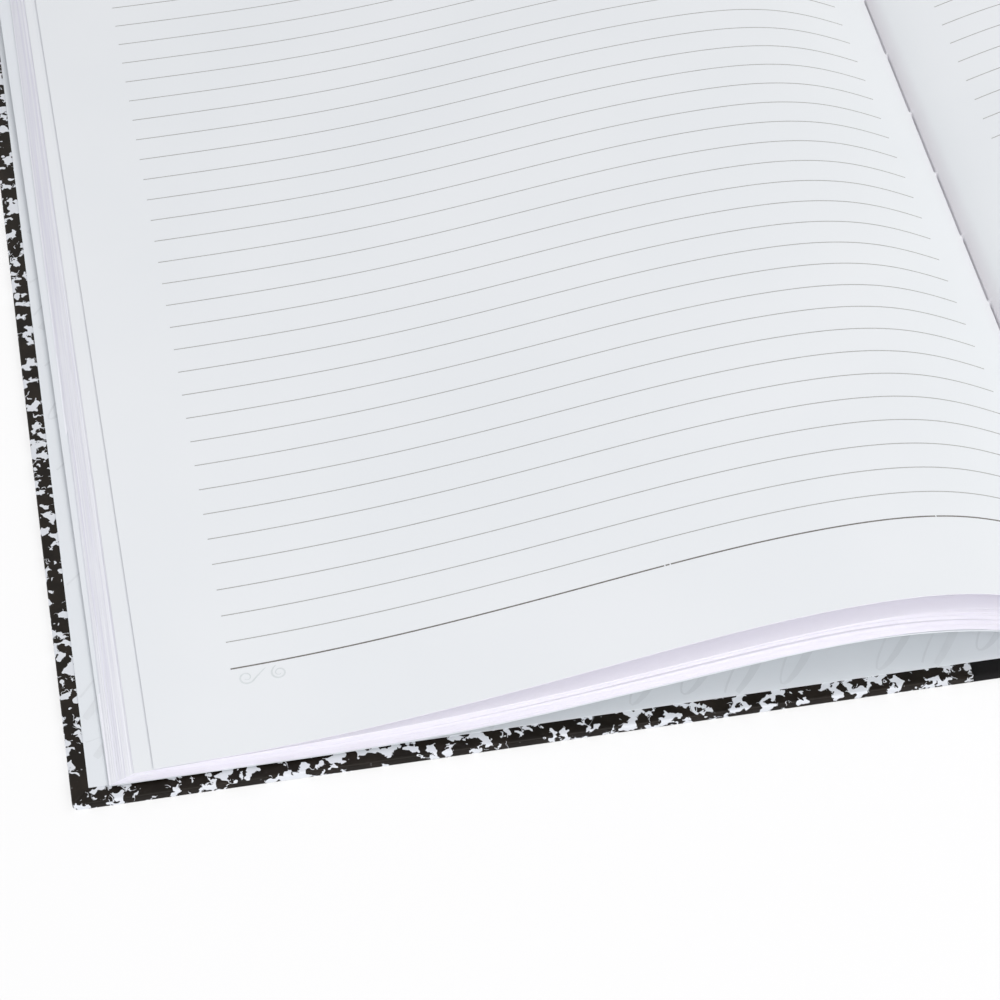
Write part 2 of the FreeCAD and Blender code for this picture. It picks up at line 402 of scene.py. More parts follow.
# the open shape of the leaves, in millimetres: eight stations from the fold to the fore edge, at three
# rows. It follows the part's source, apart from a lower fold and a narrower fan at the head
spread = {
    "leafHeight": 247.6,
    "reach": 182.3,                       # fold to the top leaf's fore edge, at the tail
    "reachGains": (0.0, 1.3, 3.1),        # tail, middle, head
    "shares": (0.0, 0.124, 0.269, 0.416, 0.561, 0.707, 0.855, 1.0),
    "levels": ((5.6, 19.1, 23.1, 20.1, 14.7, 9.4, 5.5, 3.9),
               (5.2, 16.7, 19.3, 16.3, 11.6, 7.8, 5.9, 5.0),
               (5.0, 14.5, 16.0, 13.4, 9.7, 7.1, 6.0, 5.6)),
    "coverTop": 1.95,
    "topSheet": 0.4,                      # top leaf down to the next one
    "foldDrop": 0.6,                      # further down at the fold, under the crevice
    "air": (0.0, 3.4, 4.7, 5.0, 4.1, 2.3, 0.4, 0.0),
    "airRows": (1.0, 0.85, 0.7),
    "depths": (6.3, 6.3, 5.5, 5.2, 5.0, 4.9, 4.5, 3.2),
    "lowest": 2.75,
    "foldBottom": 2.05,
    "foldHalf": 4.0,
    "fan": ((0, 0.0), (1, 1.1), (2, 3.6), (3, 3.75), (24, 6.0), (25, 6.35), (49, 8.3)),
    "headFan": 0.63,                      # the fan is this share of it at the head
    "sheets": 49,                         # folded sheets under the top one
    "pageLike": 2,                        # sheets whose faces show beside the top one
    "columns": 40,                        # points of each half sheet, across
    "rows": 8,
    "thickness": (0.04, 0.09),            # of a sheet, whatever room it has
    "roomFilled": 0.8,
    "trim": 0.1,                          # most that a sheet falls short at the tail and the head
    "rightRise": (1.75, 1.8, 14),         # right page beside the fold: height, slope's length, reach
    "jumpShare": 0.34,                    # share of the sheets that step out from the one above
    "jumpGap": 0.1,                       # opening at the fore edge over a sheet that steps out
    "creep": 0.12,                        # step of the other sheets, as a share of a full one
    "tuck": 0.34,                         # most that a sheet is set back from its step
    "crowding": (0.75, 0.62, 0.98, 1.2, 1.2, 1.1, 1.0, 1.0),
    # gaps under single sheets, one at each station; the one under sheet 18 parts two bundles
    "openings": {18: (0.0, 0.25, 0.6, 0.7, 0.5, 0.15, 0.0, 0.0),
                 9: (0.0, 0.05, 0.1, 0.12, 0.1, 0.0, 0.0, 0.0),
                 2: (0.0, 0.0, 0.0, 0.0, 0.0, 0.0, 0.05, 0.15),
                 24: (0.0, 0.0, 0.0, 0.0, 0.0, 0.05, 0.12, 0.2),
                 36: (0.0, 0.0, 0.0, 0.0, 0.0, 0.05, 0.1, 0.12)},
    "seed": 11,
}
halfLeaf = spread["leafHeight"] / 2
shapeRows = ("shares", "levels", "air", "airRows", "depths", "reachGains", "crowding")
rowsOf = {key: np.array(spread[key]) for key in shapeRows}
chance = np.random.default_rng(spread["seed"])
spacing = np.cumsum(np.concatenate([[0], chance.uniform(0.7, 1.3, spread["sheets"] - 1)]))
spacing /= spacing[-1]
tucked = -chance.uniform(0, spread["tuck"], spread["sheets"] + 1) * (np.arange(spread["sheets"] + 1) > 3)
tucked[-1] = 0
jumps = np.where(chance.random(spread["sheets"] + 1) < spread["jumpShare"], 1.0, spread["creep"])


def fanReach(number):
    # how far a sheet's fore edge steps out from the top one's, in small groups of sheets
    for (first, low), (last, high) in zip(spread["fan"], spread["fan"][1:]):
        if first < number <= last:
            steps = jumps[first + 1:last + 1]
            return low + (high - low) * steps[:number - first].sum() / steps.sum()
    return 0.0


def rowWeights(y):
    t = y / halfLeaf
    return np.array([t * (t - 1) / 2, 1 - t * t, t * (t + 1) / 2])


def sheetLevels(number, weights):
    # levels of one folded sheet at the stations; sheet 0 is the top one
    top = weights @ rowsOf["levels"] + spread["coverTop"]
    if number == 0:
        return top
    first = top - spread["topSheet"] - rowsOf["air"] * (weights @ rowsOf["airRows"])
    first[0] -= spread["foldDrop"]
    room = first - np.maximum(first - rowsOf["depths"], spread["lowest"])
    room[0] = first[0] - spread["foldBottom"]
    opened = sum(np.array(gap) for gap in spread["openings"].values())
    above = sum(np.array(gap) * (boundary < number) for boundary, gap in spread["openings"].items())
    tips = np.zeros(len(room))
    tips[-2:] = (0.4 * spread["jumpGap"], spread["jumpGap"])
    stepped = (jumps[1:] == 1.0)
    opened, above = opened + tips * stepped.sum(), above + tips * stepped[:number].sum()
    return first - spacing[number - 1] ** rowsOf["crowding"] * (room - opened) - above


def halfSection(y, number, samples, near=()):
    # right half of one sheet's section from the fold to the fore edge, with extra places near the fold
    weights = rowWeights(y)
    reach = spread["reach"] + weights @ rowsOf["reachGains"]
    stations = rowsOf["shares"] * reach
    fanShare = 1 - (1 - spread["headFan"]) * (y / halfLeaf + 1) / 2
    stations[-1] += fanReach(number) * fanShare + tucked[number]
    stations[0] = spread["foldHalf"] * spacing[number - 1] if number else 0.0
    levels = sheetLevels(number, weights)
    places = stations[0] + (stations[-1] - stations[0]) * np.linspace(0, 1, samples)
    if number == 0:
        places = np.concatenate([near, places[places > max(near, default=0.0)]])
    heights = naturalSpline(stations, levels, places)
    return np.concatenate([[0.0], places]), np.concatenate([[levels[0]], heights])


def rightRise(x):
    # the right page stands steeper beside the fold
    height, slope, reach = spread["rightRise"]
    return height * (1 - np.exp(-x / slope)) * np.exp(-(x / reach) ** 2)


def sheetGrid(number, samples, rows, trim=0.0):
    # points of one folded sheet, from the front fore edge over the fold to the back one
    lines = []
    for y in np.linspace(-halfLeaf + trim, halfLeaf - trim, rows):
        x, z = halfSection(y, number, samples)
        across = np.concatenate([-x[:0:-1], x])
        right = z + rightRise(x) * (1 - (spacing[number - 1] if number else 0))
        lines.append(np.stack([across, np.full_like(across, y), np.concatenate([z[:0:-1], right])], -1))
    return np.array(lines)


def makeLeafStack():
    samples, rows, sheets = spread["columns"], spread["rows"], []
    trims = chance.uniform(0, spread["trim"], spread["sheets"] + 1)
    for number in range(1, spread["sheets"] + 1):
        upper = sheetGrid(number, samples, rows, trim=trims[number])
        under = sheetGrid(min(number + 1, spread["sheets"]), samples, rows)
        thick = np.clip((upper[..., 2] - under[..., 2]) * spread["roomFilled"], *spread["thickness"])
        lower = upper.copy()
        lower[..., 2] -= thick
        sheets.append((upper, lower))
    mesh = gridShells("leaf_stack", sheets, lowerSlot=1)
    each = len(mesh.polygons) // len(sheets)
    tops = (rows - 1) * (sheets[0][0].shape[1] - 1)
    for number in range(spread["pageLike"]):
        for polygon in mesh.polygons[number * each:number * each + tops]:
            if abs(polygon.center.x) > leafFinish["ledgeFrom"]:
                polygon.material_index = 2
    return addPiece("leaf_stack", mesh, "innerLeaf", "leafEdge", "leaf")


sewing = {
    "count": 12,
    "pitch": 19.7,
    "length": 18.3,
    "shift": 2.6,                # of the whole row towards the head
    "above": -0.3,               # thread's middle above the bottom of the fold
    "strand": 0.055,             # radius of each of the two plies
    "twist": 0.8,
    "dip": 0.45,                 # of a stitch's ends into the needle holes
    "dipFrom": 0.93,             # share of the half stitch at which it begins
    "hole": 0.35,                # half a needle hole, where the fold is pulled shut
    "opening": 0.5,              # length over which the crevice opens beside it
    "linePoints": 120,
    "ringPoints": 7,
}
# the crevice in the fold of the top sheet: places across it and how it rises at the first of them
fold = {
    "across": (0.09, 0.14, 0.185, 0.23, 0.28, 0.33, 0.5, 0.85, 1.35, 2.1),
    "walls": (0.06, 0.3, 0.66, 0.88, 1.0),
    "lip": 0.15,                 # height of the lip beside the crevice
    "lipFrom": 0.28,
    "blend": 1.2,
    "deep": 0.76,                # bottom of the crevice below the smooth fold
    "shut": 0.2,                 # share of the depth that is left at a needle hole
    "sway": 0.09,                # the crevice leans from one hole to the next
    "swayReach": 0.8,
    "beside": (-1.1, -0.6, -0.3, 0.0, 0.3, 0.6, 1.1),      # rows of points around each hole
    "rows": 41,
    "columns": 110,
    "thickness": 0.1,
}


def stitchShare(y):
    # 0 at a needle hole, 1 along a stitch, and how far along the stitch
    along = (y - sewing["shift"]) / sewing["pitch"] + sewing["count"] / 2
    share = along - np.floor(along)
    away = np.minimum(share, 1 - share) * sewing["pitch"]
    return np.clip((away - sewing["hole"]) / sewing["opening"], 0, 1), share


def makeCentreSheet():
    holes = sewing["shift"] + sewing["pitch"] * (np.arange(sewing["count"] + 1) - sewing["count"] / 2)
    close = [hole + step for hole in holes for step in fold["beside"]]
    rows = np.concatenate([np.linspace(-halfLeaf, halfLeaf, fold["rows"]), close])
    lines = []
    for y in np.unique(rows[np.abs(rows) <= halfLeaf].round(3)):
        x, z = halfSection(y, 0, fold["columns"], near=fold["across"])
        opened, share = stitchShare(y)
        raised = z + fold["lip"] * (1 - np.clip((x - fold["lipFrom"]) / fold["blend"], 0, 1)) ** 2
        count = len(fold["walls"])
        lip, bottom = raised[count], z[0] - fold["deep"]
        depth = (lip - bottom) * (fold["shut"] + (1 - fold["shut"]) * opened)
        raised[1:count + 1] = lip - depth * (1 - np.array(fold["walls"]))
        raised[0] = lip - depth
        sway = fold["sway"] * (2 * share - 1) * np.exp(-(x / fold["swayReach"]) ** 2)
        across = np.concatenate([-x[:0:-1] + sway[:0:-1], x + sway])
        right = raised + rightRise(x)
        lines.append(np.stack([across, np.full_like(across, y), np.concatenate([raised[:0:-1], right])], -1))
    upper = np.array(lines)
    lower = upper.copy()
    lower[..., 2] -= fold["thickness"]
    mesh = gridShells("centre_sheet", [(upper, lower)], lowerSlot=1)
    return addPiece("centre_sheet", mesh, "leaf", "leafEdge")


leafStack = makeLeafStack()
centreSheet = makeCentreSheet()
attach(leafStack, "block")
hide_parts("pages")
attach(centreSheet, "block")
print("leaves made:", sum(len(p.data.polygons) for p in (leafStack, centreSheet)), "faces")


def makeSurface(name, grid):
    # open surface that printing is laid on; its UV runs with its arc length and along Y
    rows, columns = grid.shape[:2]
    mesh = bpy.data.meshes.new(name)
    mesh.from_pydata((grid.reshape(-1, 3) * mm).tolist(), [], shellFaces(rows, columns)[0].tolist())
    lengths = np.linalg.norm(np.diff(grid, axis=1), axis=2)
    arcs = np.concatenate([np.zeros((rows, 1)), np.cumsum(lengths, axis=1)], 1)
    wide = float(arcs[:, -1].mean())
    across = (arcs / arcs[:, -1:]).reshape(-1)
    along = np.repeat(np.linspace(0, 1, rows), columns)
    layer = mesh.uv_layers.new(name="UVMap")
    corners = np.empty(len(mesh.loops), np.int32)
    mesh.loops.foreach_get("vertex_index", corners)
    layer.data.foreach_set("uv", np.stack([across, along], -1)[corners].astype(np.float32).reshape(-1))
    mesh.polygons.foreach_set("use_smooth", [True] * len(mesh.polygons))
    surface = linked(name, mesh)
    surface.hide_render = True
    return surface, wide


socketKinds = {"Object": "NodeSocketObject", "Material": "NodeSocketMaterial", "int": "NodeSocketInt",
               "float": "NodeSocketFloat", "Vector": "NodeSocketVector", "Mesh": "NodeSocketGeometry"}


def growTree(name, sizes):
    # empty geometry tree with a named input for each size
    tree = bpy.data.node_groups.new(name, "GeometryNodeTree")
    tree.interface.new_socket("Flat", in_out="INPUT", socket_type="NodeSocketGeometry")
    for label, value in sizes.items():
        kind = socketKinds[type(value).__name__]
        tree.interface.new_socket(label, in_out="INPUT", socket_type=kind)
    tree.interface.new_socket("Geometry", in_out="OUTPUT", socket_type="NodeSocketGeometry")
    entry = Signal(tree).node("NodeGroupInput")
    return entry, {label: entry.other(label) for label in ["Flat", *sizes]}


def evaluated(piece):
    # plain mesh of what a piece's modifiers make
    graph = bpy.context.evaluated_depsgraph_get()
    return bpy.data.meshes.new_from_object(piece.evaluated_get(graph), preserve_all_data_layers=True, depsgraph=graph)


def growMesh(name, entry, result, sizes, flat=None):
    # runs a finished tree once and keeps what it made as a plain mesh
    entry.tree.links.new(result.socket, entry.tree.nodes.new("NodeGroupOutput").inputs[0])
    carrier = linked(name + "Carrier", flat or bpy.data.meshes.new(name))
    modifier = carrier.modifiers.new("grow", "NODES")
    modifier.node_group = entry.tree
    for item in entry.tree.interface.items_tree:
        if item.in_out == "INPUT" and item.name in sizes:
            modifier[item.identifier] = sizes[item.name]
    mesh = evaluated(carrier)
    bpy.data.objects.remove(carrier)
    mesh.name = name
    return mesh


def wrapFlat(entry, flat, sizes):
    # lays flat shapes on a surface: x is the arc across it, y the place along it, both from its middle
    place = entry.node("GeometryNodeInputPosition")
    x, y, z = place.split()
    uv = entry.joined(x / sizes["Wide"] + 0.5, y / sizes["Long"] + 0.5, 0.0)
    target = entry.grow("ObjectInfo", {0: sizes["Surface"]}, "Geometry")
    uvMap = entry.node("GeometryNodeInputNamedAttribute", {"data_type": "FLOAT_VECTOR"}, {"Name": "UVMap"})
    normal = entry.node("GeometryNodeInputNormal")

    def sample(value):
        return entry.node("GeometryNodeSampleUVSurface", {"data_type": "FLOAT_VECTOR"},
                          {0: target, 1: value, 2: uvMap, 3: uv})

    on, away = sample(place), sample(normal)
    valid = on.other("Is Valid")
    lift = sizes["Lift"] + z
    lifted = entry.vector("MULTIPLY_ADD", away, entry.joined(lift, lift, lift), on)
    kept = entry.node("GeometryNodeDeleteGeometry", {"domain": "POINT"}, {0: flat, 1: 1 - valid})
    laid = entry.grow("SetPosition", {0: kept, 2: lifted})
    raised = entry.grow("ExtrudeMesh", {0: laid, 3: sizes["Thickness"], 4: False})
    under = entry.grow("FlipFaces", {0: laid})
    closed = entry.grow("JoinGeometry", {0: [raised, under]})
    return entry.grow("MergeByDistance", {0: closed, "Distance": 1e-7})


ruling = {
    "pitch": 6.35,
    "count": 33,
    "foot": -104.43,             # bottom line, along Y
    "outerMargin": 16.6,         # arc from the top leaf's fore edge to the lines
    "length": 160.9,
    "width": 0.2,
    "footWidth": 0.3,
    "lift": 0.012,
    "thickness": 0.02,
    "innerExtra": 3.5,           # wider margin by the fold on the right page
    "pieces": 110,               # faces along each line
    "footPieces": 640,
    "gaps": 0.006,               # share of the foot line that didn't print
    "seed": 7,
    "surface": (160, 61),        # points of the surface under the printing
}
spreadSurface, spreadWide = makeSurface("spreadSurface", sheetGrid(0, *ruling["surface"]))


def metres(sizes, *keys):
    return {key[0].upper() + key[1:]: sizes[key] * mm for key in keys}


def makeRuling():
    middle = spreadWide / 2 - ruling["outerMargin"] - ruling["length"] / 2
    sizes = {"Surface": spreadSurface, "Ink": materials["rule"], "FootInk": materials["footRule"],
             "Wide": spreadWide * mm, "Long": spread["leafHeight"] * mm, "Count": ruling["count"] - 1,
             "Middle": middle * mm, "Gaps": ruling["gaps"], "Seed": ruling["seed"], "Inset": ruling["innerExtra"] * mm,
             **metres(ruling, "pitch", "foot", "length", "width", "footWidth", "lift", "thickness")}
    entry, given = growTree("ruledLines", sizes)

    def stripes(side, count, first, width, ink, parts, gaps):
        line = entry.grow("MeshGrid", {0: given["Length"], 1: width, 2: parts, 3: 2})
        start = entry.joined(given["Middle"] * side + given["Inset"] * (side > 0), first, 0.0)
        step = entry.joined(0.0, given["Pitch"], 0.0)
        rungs = entry.grow("MeshLine", {0: count, 2: start, 3: step})
        laid = entry.grow("InstanceOnPoints", {0: rungs, 2: line})
        real = entry.grow("RealizeInstances", {0: laid})
        luck = entry.node("FunctionNodeRandomValue", {}, {2: 0.0, 3: 1.0, 8: given["Seed"]}, 1)
        printed = entry.node("GeometryNodeDeleteGeometry", {"domain": "FACE"}, {0: real, 1: luck < gaps})
        return entry.grow("SetMaterial", {0: printed, 2: ink})

    pages = []
    for side in (-1, 1):
        pages.append(stripes(side, given["Count"], given["Foot"] + given["Pitch"], given["Width"], given["Ink"],
                             ruling["pieces"], 0.0))
        pages.append(stripes(side, 1, given["Foot"], given["FootWidth"], given["FootInk"],
                             ruling["footPieces"], given["Gaps"]))
    flat = entry.grow("JoinGeometry", {0: pages})
    mesh = growMesh("ruled_lines", entry, wrapFlat(entry, flat, given), sizes)
    return addPiece("ruled_lines", mesh)


ruledLines = makeRuling()
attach(ruledLines, "block")
print("ruling made:", len(ruledLines.data.polygons), "faces")


scroll = {
    # each arm: its centre from the foot line's outer end, radius, first angle, turns, and where its stem starts
    "arms": (((2.6, -2.55), 1.5, -35, -1.3, (6.4, -1.0)), ((8.7, -2.7), 1.42, 155, 1.45, (8.3, -0.95))),
    "inward": 0.72,              # share of the radius that a curl loses
    "bend": 0.45,                # of the stem, as a share of its length
    "curlPoints": 60,
    "stemPoints": 24,
    "thin": 0.1,
    "thick": 0.34,
}


def ribbon(line, widths):
    # flat strip along a line of points
    along = np.gradient(line, axis=0)
    aside = np.stack([-along[:, 1], along[:, 0]], -1) / np.linalg.norm(along, axis=1)[:, None]
    edges = np.stack([line + aside * widths[:, None] / 2, line - aside * widths[:, None] / 2], 1)
    numbers = np.arange(len(line) * 2).reshape(-1, 2)
    faces = np.stack([numbers[:-1, 0], numbers[:-1, 1], numbers[1:, 1], numbers[1:, 0]], -1)
    return edges.reshape(-1, 2), faces


def flatMesh(name, ribbons):
    # flat strips as (points, faces); a height per point keeps crossing strokes apart
    points, faces, start = [], [], 0
    for edges, quads in ribbons:
        heights = np.zeros(len(edges)) if edges.shape[1] == 2 else edges[:, 2]
        points.append(np.column_stack([edges[:, :2], heights]) * mm)
        faces += (quads + start).tolist()
        start += len(edges)
    mesh = bpy.data.meshes.new(name)
    mesh.from_pydata(np.concatenate(points).tolist(), [], faces)
    return mesh


def mirrored(ribbons):
    return [(edges * (-1, 1), quads[:, ::-1]) for edges, quads in ribbons]


def scrollArm(centre, radius, first, turns, stem):
    share = np.linspace(0, 1, scroll["curlPoints"])
    angles = math.radians(first) + 2 * math.pi * turns * share
    reach = radius * (1 - scroll["inward"] * share)
    curl = np.array(centre) + np.stack([reach * np.cos(angles), reach * np.sin(angles)], -1)
    into = (curl[1] - curl[0]) / np.linalg.norm(curl[1] - curl[0])
    length = np.linalg.norm(curl[0] - stem)
    t = np.linspace(0, 1, scroll["stemPoints"], endpoint=False)[:, None]
    middle = curl[0] - into * length * scroll["bend"]
    lead = (1 - t) ** 2 * np.array(stem) + 2 * t * (1 - t) * middle + t ** 2 * curl[0]
    line = np.concatenate([lead, curl])
    swell = np.sin(math.pi * np.linspace(0, 1, len(line)) ** 0.7)
    return ribbon(line, scroll["thin"] + (scroll["thick"] - scroll["thin"]) * swell)


def makeScrolls():
    corner = np.array((-spreadWide / 2 + ruling["outerMargin"], ruling["foot"]))
    arms = [(edges + corner, quads) for edges, quads in (scrollArm(*arm) for arm in scroll["arms"])]
    sizes = {"Surface": spreadSurface, "Ink": materials["scroll"], "Wide": spreadWide * mm,
             "Long": spread["leafHeight"] * mm, **metres(ruling, "lift", "thickness")}
    entry, given = growTree("scrolls", sizes)
    inked = entry.grow("SetMaterial", {0: wrapFlat(entry, given["Flat"], given), 2: given["Ink"]})
    flat = flatMesh("scrollFlat", arms + mirrored(arms))
    return addPiece("scroll_ornaments", growMesh("scroll_ornaments", entry, inked, sizes, flat))


scrolls = makeScrolls()
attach(scrolls, "block")


def makeThread():
    levels = [float(rowWeights(y) @ rowsOf["levels"][:, 0]) + spread["coverTop"] for y in (-halfLeaf, 0, halfLeaf)]
    sizes = {"Ink": materials["thread"], "Count": sewing["count"], "Half": halfLeaf * mm,
             "TailLevel": levels[0] * mm, "MiddleLevel": levels[1] * mm, "HeadLevel": levels[2] * mm,
             **metres(sewing, "pitch", "length", "shift", "above", "strand", "twist", "dip")}
    entry, given = growTree("sewnThread", sizes)
    place = entry.node("GeometryNodeInputPosition")
    x, y, z = place.split()
    line = entry.grow("CurvePrimitiveLine", {0: entry.joined(0.0, given["Length"] * -0.5, 0.0),
                                             1: entry.joined(0.0, given["Length"] * 0.5, 0.0)})
    fine = entry.grow("ResampleCurve", {0: line, 2: sewing["linePoints"]})
    ring = entry.grow("CurvePrimitiveCircle", {0: sewing["ringPoints"], 4: given["Strand"]})
    end = (y / given["Length"] * 2).maths("ABSOLUTE", y / given["Length"] * 2)
    dip = end.rise(sewing["dipFrom"], 1.0) * given["Dip"]
    plies = []
    for phase in (0.0, math.pi):
        turn = y * (2 * math.pi) / given["Twist"] + phase
        aside, up = turn.maths("COSINE", turn) * given["Strand"], turn.maths("SINE", turn) * given["Strand"]
        coiled = entry.joined(aside, y, up - dip)
        bent = entry.grow("SetPosition", {0: fine, 2: coiled})
        plies.append(entry.grow("CurveToMesh", {0: bent, 1: ring, "Fill Caps": True}))
    stitch = entry.grow("JoinGeometry", {0: plies})
    first = given["Shift"] - given["Pitch"] * (given["Count"] - 1) * 0.5
    row = entry.grow("MeshLine", {0: given["Count"], 2: entry.joined(0.0, first, 0.0),
                                  3: entry.joined(0.0, given["Pitch"], 0.0)})
    placed = entry.grow("InstanceOnPoints", {0: row, 2: stitch})
    sewn = entry.grow("RealizeInstances", {0: placed})
    t = y / given["Half"]
    level = (given["TailLevel"] * (t * (t - 1) * 0.5) + given["MiddleLevel"] * (1 - t * t)
             + given["HeadLevel"] * (t * (t + 1) * 0.5) + given["Above"])
    laid = entry.grow("SetPosition", {0: sewn, 3: entry.joined(0.0, 0.0, level)})
    smooth = entry.grow("SetShadeSmooth", {0: laid})
    inked = entry.grow("SetMaterial", {0: smooth, 2: given["Ink"]})
    return addPiece("sewn_thread", growMesh("sewn_thread", entry, inked, sizes))


sewnThread = makeThread()
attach(sewnThread, "block")
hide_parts("sewing_thread")
print("scrolls and thread made")


cover = {
    "reach": 197.6,
    "half": 126.45,
    "top": 1.95,
    "edgeRadius": 0.42,
    "edgeSteps": 6,
    "cornerRadius": 1.2,
    "cornerSteps": 7,
    "turnIn": 15.0,
    "paperStart": 29.0,         # where the cloth ends and the marbled paper shows
    "skin": 0.12,
    "mitre": 0.2,               # step where one turned-in flap lies over the other
    "mitreReach": 14.0,         # the step fades along the flap
    "mitreInset": 3.4,          # and ends before the pasted endpaper
    "flap": (12.0, 8.0, 5.0, 3.3, 2.3, 1.0),      # lines of points on the turned-in paper, from its inner edge
    "under": (1.5, 4.0, 12.0),                    # and on the outer face
    "near": (0.0, 1.0, 2.5, 4.5, 7.0, 11.0),      # points beside each corner
}


def edgeProfile(top, floor, radius):
    # inset and level of the points round an edge, as its upper and its lower bend
    bend = [math.pi / 2 * k / (cover["edgeSteps"] - 1) for k in range(cover["edgeSteps"])]
    upper = [(radius * (1 - math.sin(a)), top - radius * (1 - math.cos(a))) for a in bend]
    lower = [(radius * (1 - math.cos(a)), floor + radius * (1 - math.sin(a))) for a in bend]
    return upper, lower


def coverRing(inset):
    # three sides of the board, from the cloth along the tail, up the fore edge and back along the head,
    # and how far each point of the fore side's flap is raised where it lies over the other flap at the mitre
    reach, half, start = cover["reach"] - inset, cover["half"] - inset, cover["paperStart"]
    radius = max(cover["cornerRadius"] - inset, 0.02)
    turns = [math.pi / 2 * k / (cover["cornerSteps"] - 1) for k in range(cover["cornerSteps"])]
    near = np.array(cover["near"])
    run = np.concatenate([np.linspace(start, reach - radius - 15, 16), reach - radius - near[:0:-1]])
    tail = [(-x, -half, 0.0) for x in run]
    low = [(radius - reach - radius * math.sin(a), radius - half - radius * math.cos(a), float(a > 0.8)) for a in turns]
    ends = [(half - radius - d, float(1 - d / cover["mitreReach"]) if d < near[-1] else 0.1) for d in near[1:]]
    fore = [(-reach, -y, lift) for y, lift in ends] + [(-reach, y, 0.0) for y in np.linspace(15 - half, half - 15, 20)]
    fore += [(-reach, y, lift) for y, lift in ends[::-1]]
    high = [(x, -y, lift) for x, y, lift in low[::-1]]
    head = [(x, -y, lift) for x, y, lift in tail[::-1]]
    return np.array(tail + low + fore + high + head)


def thickened(piece, thickness):
    # gives a surface its wall, inwards, and keeps that as the piece's own mesh
    wall = piece.modifiers.new("skin", "SOLIDIFY")
    wall.thickness, wall.offset = thickness * mm, -1
    mesh = evaluated(piece)
    piece.modifiers.clear()
    piece.data = mesh
    return piece


def coverSkin(name, grid, faces, side, finish, thickness):
    # skin over a grid of points of the front cover, mirrored for the back
    points = grid.reshape(-1, 3) * mm
    if side > 0:
        points, faces = points * (-1, 1, 1), [face[::-1] for face in faces]
    mesh = bpy.data.meshes.new(name)
    mesh.from_pydata(points.tolist(), [], faces)
    mesh.polygons.foreach_set("use_smooth", [len(p.vertices) == 4 for p in mesh.polygons])
    return thickened(addPiece(name, mesh, finish), thickness)


def makeCoverPaper(name, side):
    upper, lower = edgeProfile(cover["top"], 0.0, cover["edgeRadius"])
    rings = [(inset, cover["top"]) for inset in (cover["turnIn"], *cover["flap"])] + upper
    rings += [(0.0, cover["top"] / 2)] + lower + [(inset, 0.0) for inset in cover["under"]]
    points = []
    for inset, level in rings:
        flat = coverRing(inset)
        shown = min(max((level - 1.2) / 0.7, 0), 1) * min(max(cover["mitreInset"] - inset, 0), 1)
        raised = flat[:, 2] * cover["mitre"] * shown
        points.append(np.column_stack([flat[:, :2], level + raised]))
    grid = np.array(points)
    rows, columns = grid.shape[:2]
    faces = shellFaces(rows, columns)[0].tolist()
    faces.append(list(range((rows - 1) * columns, rows * columns)))      # the outer face
    return coverSkin(name, grid, faces, side, "marble", cover["skin"])


groove = {
    "boardEnd": 11.5,
    "stripEnd": 5.0,
    "low": 0.45,                 # cloth on cloth in the groove
    "stripTop": 1.75,
    "crease": 0.12,
    "slope": 1.6,
    "turned": (12.0, 8.0, 4.0, 2.0, 1.0),              # lines of points on the turned-in cloth
    "under": (1.5, 4.0, 12.0, 30.0, 60.0, 90.0),       # and on its outer face
    "thickness": 0.2,
}


def softStep(value, low, high):
    t = np.clip((value - low) / (high - low), 0, 1)
    return t * t * (3 - 2 * t)


def makeClothHalf(name, side):
    # half of the cloth strip: turned in at the tail and the head, pressed down in the groove
    slope, board, strip = groove["slope"], groove["boardEnd"], groove["stripEnd"]
    flat = np.linspace(cover["paperStart"], board + 1, 12, endpoint=False)
    bent = np.linspace(board + 1, strip - 1, 30, endpoint=False)
    lines = []
    for d in np.concatenate([flat, bent, np.linspace(strip - 1, 0, 4)]):
        onBoard = softStep(d, board - slope, board)
        onStrip = 1 - softStep(d, strip, strip + slope)
        top = groove["low"] + (cover["top"] - groove["low"]) * onBoard + (groove["stripTop"] - groove["low"]) * onStrip
        floor = groove["crease"] * (1 - onBoard) * (1 - onStrip)
        upper, lower = edgeProfile(top, floor, min(cover["edgeRadius"], (top - floor) / 2))
        path = [(inset, top) for inset in (cover["turnIn"], *groove["turned"])] + upper + lower
        path += [(inset, floor) for inset in groove["under"]]
        tail = [(-cover["half"] + inset, level) for inset, level in path]
        head = [(-y, level) for y, level in tail[::-1]]
        lines.append([(-d, y, z) for y, z in tail + [(0.0, floor)] + head])
    grid = np.array(lines)
    return coverSkin(name, grid, shellFaces(*grid.shape[:2])[0].tolist(), side, "cloth", groove["thickness"])


endpaper = {
    "outer": 194.3,
    "inner": 6.5,
    "half": 123.15,
    "rimTop": 2.15,
    "fieldTop": 1.95,
    "spineTop": 1.72,
    "rim": 11.7,                 # width over the turned-in edges
    "rimSoft": 0.9,
    "dropFrom": 2.5,             # the paper comes down into the joint from here to the board's end
    "thickness": 0.15,
    "strokePitch": 9.5,
    "strokeRow": 23.0,
    "lean": 0.8,
    "swing": 9.5,                # half height of the loops
    "swingMore": 2.5,
    "loop": 4.2,
    "strokeThin": 0.4,
    "strokeThick": 2.3,
    "lift": 0.006,
    "inkThickness": 0.012,
}


